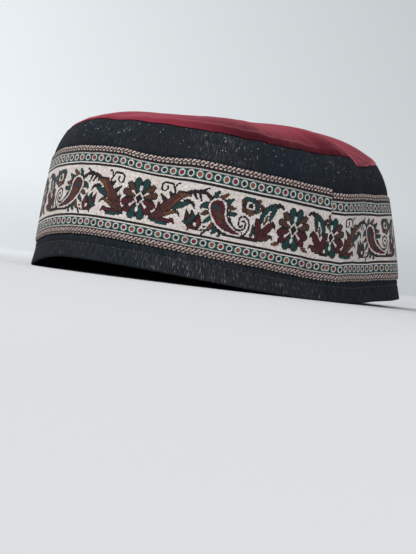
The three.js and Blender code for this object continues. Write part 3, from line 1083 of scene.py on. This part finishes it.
def cut_end(mesh, columns, towards):
    """Cuts off what lies towards one end, in the given columns of the grid."""
    uv = mesh.loops.layers.uv["cloth"]
    middle, normal = join_plane()
    if normal.dot(towards) < 0:
        normal = -normal
    near = [f for f in mesh.faces if columns[0] <= f.loops[0][uv].uv.x / MM / CELL <= columns[1]]
    # A dict keeps its keys in order and a set doesn't, so this way every run cuts alike.
    geom = list(dict.fromkeys(item for face in near for item in (face, *face.edges, *face.verts)))
    cut_at = middle - normal * (JOIN_HALF_GAP * MM)
    bmesh.ops.bisect_plane(mesh, geom=geom, dist=1e-7, plane_co=cut_at, plane_no=normal, clear_outer=True)


forwards = direction(wall_point(wall_at(JOIN_BOTTOM), FOOT, 0), wall_point(wall_at(JOIN_TOP), FOOT, 0))
cut_end(ribbon_mesh, FIRST_COLUMNS, -forwards)
cut_end(ribbon_mesh, LAST_COLUMNS, forwards)
open_edges = [edge for edge in ribbon_mesh.edges if edge.is_boundary]
bmesh.ops.holes_fill(ribbon_mesh, edges=open_edges, sides=0)
print("open edges left:", sum(edge.is_boundary for edge in ribbon_mesh.edges))
bmesh.ops.recalc_face_normals(ribbon_mesh, faces=ribbon_mesh.faces)
ribbon = make_object("woven_ribbon_cloth", ribbon_mesh)

# %% [markdown]
# ## Shader sums in Python
# A material's pattern is arithmetic on numbers that change over the surface. Written as nodes it is hard to
# read, so a small class wraps a socket, and each Python operator on it adds one Math node. The builder
# below it makes any other node in one call, with its settings first and then its sockets.

# %% A number that changes over the surface
class Sum:
    """A number that changes over the surface. Operators on it add Math nodes."""

    def __init__(self, paint, socket):
        self.paint, self.socket = paint, socket

    def math(self, operation, *others):
        """A Math node with this sum first."""
        return self.paint.math(operation, self, *others)

    def __add__(self, other):
        return self.math("ADD", other)

    def __sub__(self, other):
        return self.math("SUBTRACT", other)

    def __rsub__(self, other):
        return self.paint.math("SUBTRACT", other, self)

    def __mul__(self, other):
        return self.math("MULTIPLY", other)

    def __truediv__(self, other):
        return self.math("DIVIDE", other)

    def __pow__(self, other):
        return self.math("POWER", other)

    __radd__ = __add__
    __rmul__ = __mul__

    def wave(self):
        """The sine of it, in radians."""
        return self.math("SINE")

    def size(self):
        return self.math("ABSOLUTE")

    def below(self, limit):
        """1 where it is below the limit, and 0 elsewhere."""
        return self.math("LESS_THAN", limit)

    def above(self, limit):
        return self.math("GREATER_THAN", limit)

    def ramp(self, low, high):
        """Goes smoothly from 0 to 1 as it goes from low to high."""
        return self.paint.node(
            "ShaderNodeMapRange", {"interpolation_type": "SMOOTHSTEP"},
            {"Value": self, "From Min": low, "From Max": high},
        )


# %% A material
def set_stops(ramp, stops):
    """Gives a colour ramp hard steps, from a list of positions and colours."""
    ramp.interpolation = "CONSTANT"
    for i, (position, color) in enumerate(stops):
        stop = ramp.elements[i] if i < len(ramp.elements) else ramp.elements.new(position)
        stop.position = position
        stop.color = color


class Paint:
    """A new material on the Principled shader."""

    def __init__(self, name, **constants):
        self.material = bpy.data.materials.new(name)
        self.material.use_nodes = True
        self.nodes = self.material.node_tree.nodes
        self.shader = self.nodes["Principled BSDF"]
        for socket, value in constants.items():
            self.shader.inputs[socket.replace("_", " ")].default_value = value

    def node(self, kind, settings=None, sockets=None, out=0):
        made = self.nodes.new(kind)
        for setting, value in (settings or {}).items():
            if setting == "stops":
                set_stops(made.color_ramp, value)
            else:
                setattr(made, setting, value)
        for socket, value in (sockets or {}).items():
            self.feed(made.inputs[socket], value)
        return Sum(self, made.outputs[out])

    def feed(self, socket, value):
        if isinstance(value, Sum):
            self.material.node_tree.links.new(value.socket, socket)
        else:
            socket.default_value = value

    def math(self, operation, *values):
        return self.node("ShaderNodeMath", {"operation": operation}, dict(enumerate(values)))

    def mix(self, factor, first, second, blend="MIX"):
        settings = {"data_type": "RGBA", "blend_type": blend}
        return self.node("ShaderNodeMix", settings, {0: factor, 6: first, 7: second}, 2)

    def noise(self, where, scale, detail=2.0, rough=0.5):
        sockets = {"Vector": where, "Scale": scale, "Detail": detail, "Roughness": rough}
        return self.node("ShaderNodeTexNoise", {}, sockets)

    def stretched_noise(self, where, scales, detail=2.0, rough=0.5):
        """A noise with its own scale along each axis."""
        sockets = {"Vector": where, "Scale": scales}
        mapped = self.node("ShaderNodeMapping", {"vector_type": "POINT"}, sockets)
        return self.noise(mapped, 1.0, detail, rough)

    def axes(self, where):
        """The three numbers of a place, each as a sum."""
        return [self.node("ShaderNodeSeparateXYZ", {}, {"Vector": where}, axis) for axis in range(3)]

    def surface(self, color, roughness, height, depth):
        """Feeds the shader. Height is a sum from 0 to 1 and depth is its size in metres."""
        self.feed(self.shader.inputs["Base Color"], color)
        self.feed(self.shader.inputs["Roughness"], roughness)
        bump = self.node("ShaderNodeBump", {}, {"Height": height, "Distance": depth, "Strength": 1.0})
        self.feed(self.shader.inputs["Normal"], bump)
        return self.material


def srgb(red, green, blue):
    """A colour as a picture file gives it, 0 to 255, in the linear numbers that shaders use."""
    def linear(value):
        value /= 255
        return value / 12.92 if value <= 0.04045 else ((value + 0.055) / 1.055) ** 2.4

    return (linear(red), linear(green), linear(blue), 1.0)


print("middle grey in linear numbers:", round(srgb(128, 128, 128)[0], 3))

# %% [markdown]
# ## Thread patterns
# A plain weave is two families of threads that go over and under each other. The height of one family is a
# wave along the cloth, and the other family has the same wave half a step later, so the higher of the two
# shows at each place. Here both are read from the UV map in metres, so the threads keep their real size on
# every cloth.

# %% Weave
def cloth_axes(paint):
    """The place on the flat cloth in metres, and its two numbers, along and up."""
    where = paint.node("ShaderNodeUVMap", {"uv_map": "cloth"})
    return where, *paint.axes(where)[:2]


def plain_weave(u, v, pitch):
    """Height of a plain weave, 0 between threads and 1 on top of one."""
    turn = math.pi / (pitch * MM)
    over = ((u * turn).wave() * (v * turn).wave()) * 0.5 + 0.5
    threads = (u * turn).wave().size() * 0.5 + (v * turn).wave().size() * 0.5
    return over * 0.5 + threads * 0.5


# %% [markdown]
# ## Black slubbed cotton
# The band's cotton is spun unevenly: thick pale slubs show as short upright grey flecks, some of them mere
# dots, on a charcoal ground. Two noises stretched along the upright thread give the fine streaks and the
# flecks, and a slow noise gathers the flecks in drifts. More of them show near the top seam, where the
# cloth is pulled open.

# %% Band material
WORN_AT, FOOT_WORN_AT = (ROUND - 73) * MM, (ROUND - 55) * MM


def slubbed_cotton():
    paint = Paint("black_slub_cotton", Specular_IOR_Level=0.08)
    where, u, v = cloth_axes(paint)
    weave = plain_weave(u, v, 0.45)
    streaks = paint.stretched_noise(where, (1900, 220, 1), 3.0, 0.6).ramp(0.42, 0.7)
    flecks = paint.stretched_noise(where, (1900, 300, 1))
    dots = paint.noise(where, 1050.0, 1.0)
    drifts = paint.noise(where, 40.0, 3.0).ramp(0.5, 0.68) * 0.4
    drifts = drifts + (1 - (u - WORN_AT).size().ramp(0.006, 0.024)) * 0.6
    high = v.ramp(0.059, 0.066)
    low = (1 - v.ramp(0.006, 0.012)) * (1.3 - (u - FOOT_WORN_AT).size().ramp(0.035, 0.06))
    slubs = flecks.ramp(0.6, 0.7) * (drifts * 0.6 + high * 0.05 + low * 0.4 + 0.02)
    specks = dots.ramp(0.72, 0.76) * (drifts * 0.15 + high * 0.9 + 0.05)
    ground = paint.mix(streaks * (drifts * 0.4 + low * 0.2 + 0.15), srgb(20, 26, 33), srgb(78, 81, 84))
    warm = paint.noise(where, 14.0, 2.0).ramp(0.4, 0.65) * 0.3 + low * 0.25
    tinted = paint.mix(warm, ground, srgb(32, 32, 31))
    color = paint.mix(slubs, tinted, srgb(124, 127, 128))
    color = paint.mix(specks, color, srgb(190, 193, 195))
    height = weave * 0.5 + slubs * 0.5 + streaks * 0.3
    return paint.surface(color, 0.9 + weave * 0.08, height, 0.00022)


# %% [markdown]
# ## Crimson cotton
# The tip's cotton is smoother. Its threads differ a little in colour, so a fine noise mixes two crimsons,
# and a slow one lightens it where it has been handled. Light and shade are painted into the colour as well:
# the flat top and the front are painted lighter, and the shoulder at the sides and the back is painted
# darker, as painted shade. A sheen gives the soft light edge that brushed cotton shows against the light.

# %% Tip material
def crimson_cotton():
    sheen = {"Sheen_Weight": 0.6, "Sheen_Roughness": 0.27, "Sheen_Tint": srgb(250, 145, 158)}
    paint = Paint("crimson_cotton", Specular_IOR_Level=0.04, **sheen)
    where, u, v = cloth_axes(paint)
    weave = plain_weave(u, v, 0.42)
    along = paint.stretched_noise(where, (260, 1900, 1)).ramp(0.3, 0.7)
    across = paint.stretched_noise(where, (1900, 260, 1)).ramp(0.3, 0.7)
    heather = along * 0.5 + across * 0.5
    color = paint.mix(heather, srgb(50, 12, 20), srgb(70, 20, 30))
    worn = paint.noise(where, 28.0, 3.0).ramp(0.4, 0.75)
    color = paint.mix(worn * 0.25, color, srgb(86, 31, 43))
    # Painted light: the flat top and the front are painted lighter, as if lit from above, and the shoulder at
    # the sides and the back darker, as painted shade.
    from_middle = (u * u + v * v * 0.64) ** 0.5
    shoulder = from_middle.ramp(0.042, 0.066) * v.ramp(-0.065, -0.02)
    color = paint.mix((1 - shoulder) * 0.65, color, srgb(128, 46, 60))
    return paint.surface(color, 0.82 + heather * 0.1, weave * 0.6 + heather * 0.4, 0.00018)


# %% [markdown]
# ## Jacquard yarns
# The ribbon's faces carry their yarn's number, and a colour ramp with hard steps turns the number into a
# colour. Each yarn is then shaded as thread: darker where it dips between its neighbours, and a little
# uneven along its length. Coloured parts are woven as a twill, which shows as fine slanting lines.

# %% Ribbon material
YARN_COLORS = {
    "cream": srgb(214, 206, 201),
    "black": srgb(21, 17, 19),
    "teal": srgb(17, 68, 68),
    "pine": srgb(13, 27, 33),
    "crimson": srgb(84, 22, 32),
    "maroon": srgb(42, 19, 24),
    "brown": srgb(88, 58, 42),
    "umber": srgb(34, 26, 22),
    "orange": srgb(140, 84, 50),
    "red": srgb(132, 28, 40),
    "rose": srgb(205, 184, 178),
    "mauve": srgb(166, 146, 143),
    "drab": srgb(100, 90, 84),
    "ash": srgb(180, 175, 170),
    "orange ring": srgb(138, 76, 55),
    "red ring": srgb(128, 23, 38),
    "black ring": srgb(30, 25, 28),
}
RING_GROUND = srgb(21, 88, 85)
RING, RING_HOLE, RING_DOT = 1.68, 1.08, 0.88
RING_MIDDLE_ROW = 10.5
DEEP_SHADE = (0.006, 0.005, 0.006, 1.0)


def yarn_ramp(paint):
    """The yarn's number on each face, and its colour."""
    settings = {"attribute_type": "GEOMETRY", "attribute_name": "yarn"}
    number = paint.node("ShaderNodeAttribute", settings, {}, 2)
    stops = [(i / len(YARNS), YARN_COLORS[yarn]) for i, yarn in enumerate(YARNS)]
    return number, paint.node("ShaderNodeValToRGB", {"stops": stops}, {0: (number + 0.5) / len(YARNS)})


def draw_rings(paint, u, v, number, color):
    """Cream rings round a dot of the given colour, on the teal band, where the yarn's number names a ring."""
    u_mm = (u / MM).math("SNAP", CELL / 2)
    v_mm = (v / MM).math("SNAP", ROW / 2)
    first = (ENDS_SPARE + 0.5) * CELL
    across = (u_mm - first).math("PINGPONG", RING_CELLS * CELL / 2)
    up = ((v_mm - RIBBON_WIDTH / 2).size() - (RIBBON_WIDTH / 2 - RING_MIDDLE_ROW * ROW)).size()
    away = (across * across + up * up) ** 0.5
    between_rings = across.ramp(1.5, 1.9) * up.ramp(0.7, 1.3) * 0.85 + up.ramp(1.7, 1.9) * 0.4
    ground = paint.mix(between_rings, RING_GROUND, YARN_COLORS["black"])
    ring = paint.mix(away.below(RING), ground, YARN_COLORS["cream"])
    ring = paint.mix(away.below(RING_HOLE), ring, YARN_COLORS["black"])
    ring = paint.mix(away.below(RING_DOT), ring, color)
    return paint.mix(number.above(YARNS.index("orange ring") - 0.5), color, ring)


def jacquard():
    paint = Paint("woven_ribbon", Sheen_Weight=0.04, Specular_IOR_Level=0.2)
    where, u, v = cloth_axes(paint)
    number, color = yarn_ramp(paint)
    color = draw_rings(paint, u, v, number, color)
    colored = number.above(0.5)
    across = (u * (math.pi / (CELL * MM))).wave().size()
    twill = ((u / (CELL * MM) + v / (ROW * MM)) * (2 * math.pi / 3)).wave() * 0.5 + 0.5
    uneven = paint.stretched_noise(where, (2400, 600, 1)).ramp(0.3, 0.7)
    mottle = paint.noise(where, 700.0, 2.0).ramp(0.35, 0.65)
    dip = (1 - across) * 0.16 + (1 - twill) * colored * 0.1 + uneven * 0.16 + mottle * 0.22
    shaded = paint.mix(dip, color, DEEP_SHADE)
    aged = paint.noise(where, 60.0, 3.0).ramp(0.4, 0.8) * 0.2
    warm = paint.mix(aged, shaded, srgb(190, 150, 130), "MULTIPLY")
    height = across * 0.5 + twill * 0.3 + uneven * 0.2
    return paint.surface(warm, 0.7 + uneven * 0.15, height, 0.00014)


# %% [markdown]
# ## Lining and thread
# The lining is a close, smooth black cloth with a slight shine, and the hem's thread is black and twisted.

# %% Lining and thread materials
def smooth_lining():
    paint = Paint("black_lining", Sheen_Weight=0.05, Specular_IOR_Level=0.3)
    where, u, v = cloth_axes(paint)
    weave = plain_weave(u, v, 0.3)
    color = paint.mix(paint.noise(where, 220.0, 2.0), srgb(26, 21, 21), srgb(38, 31, 30))
    return paint.surface(color, 0.6 + weave * 0.1, weave, 0.00008)


def black_thread():
    paint = Paint("black_thread", Sheen_Weight=0.05, Specular_IOR_Level=0.3)
    where = paint.node("ShaderNodeTexCoord", {}, {}, 3)
    color = paint.mix(paint.noise(where, 1500.0, 2.0), srgb(24, 25, 28), srgb(58, 60, 62))
    return paint.surface(color, 0.65 + paint.noise(where, 900.0) * 0.2, paint.noise(where, 2600.0), 0.00008)


side_band.data.materials.append(slubbed_cotton())
hem_stitches.data.materials.append(black_thread())
crown_tip.data.materials.append(crimson_cotton())
ribbon.data.materials.append(jacquard())
lining.data.materials.append(smooth_lining())

# %% [markdown]
# ## Studio light
# A large soft lamp above and a little in front lights the tip and the ribbon. A weaker one from the
# camera's side opens the shadows, a third brightens the backdrop, and the pale surroundings do the rest, as
# white walls would. The paper is a pale blue grey, painted lighter behind the cap and up its curve, where
# less lamp light reaches it: painted light that keeps the backdrop even.

# %% Paper and lamps
def pale_paper():
    paint = Paint("studio_paper", Roughness=0.95, Specular_IOR_Level=0.05)
    where = paint.node("ShaderNodeTexCoord", {}, {}, 3)
    x, _, height = paint.axes(where)
    floor = paint.mix(paint.noise(where, 2.0), srgb(174, 176, 178), srgb(178, 180, 182))
    # Painted light: the paper grows lighter behind the cap and up the curve, where the lamps light it less.
    floor = paint.mix((0.0 - x).ramp(0.1, 0.9), floor, srgb(196, 199, 202))
    color = paint.mix(height.ramp(0.0, 0.12), floor, srgb(215, 218, 220))
    paint.feed(paint.shader.inputs["Base Color"], color)
    return paint.material


def add_lamp(name, place, target, size, power, color):
    lamp = bpy.data.objects.new(name, bpy.data.lights.new(name, "AREA"))
    lamp.data.shape = "DISK"
    lamp.data.size = size
    lamp.data.energy = power
    lamp.data.color = color
    back = Vector(place) - Vector(target)
    lamp.matrix_world = Matrix.Translation(place) @ back.to_track_quat("Z", "Y").to_matrix().to_4x4()
    bpy.context.scene.collection.objects.link(lamp)


CAP_MIDDLE = (0, 0, 0.05)
sweep.data.materials.append(pale_paper())
add_lamp("key_lamp", (0.2, -0.9, 1.4), CAP_MIDDLE, 0.9, 26, (1.0, 0.985, 0.96))
add_lamp("fill_lamp", (1.5, -0.1, 0.6), CAP_MIDDLE, 1.2, 10, (0.97, 0.98, 1.0))
add_lamp("backdrop_lamp", (-0.9, -0.3, 0.9), (-1.2, -0.2, 0.0), 1.0, 6, (0.98, 0.99, 1.0))
world = bpy.data.worlds.new("studio_world")
world.use_nodes = True
world.node_tree.nodes["Background"].inputs["Color"].default_value = srgb(236, 239, 242)
world.node_tree.nodes["Background"].inputs["Strength"].default_value = 0.6
bpy.context.scene.world = world
bpy.context.scene.view_settings.view_transform = "Standard"
print("lamps:", [lamp.name for lamp in bpy.data.objects if lamp.type == "LIGHT"])

# %% [markdown]
# ## Tie the cloths to the imported model
# Every piece rides on the imported model's body, and each cloth hides the plain solid that it replaces.

# %% Ride and replace
def dress(piece, node):
    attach(piece, "root")
    if node:
        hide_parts(node)


dress(side_band, "side_band")
dress(hem_stitches, None)
dress(crown_tip, "crown_tip")
dress(ribbon, "ribbon")
dress(lining, "lining")
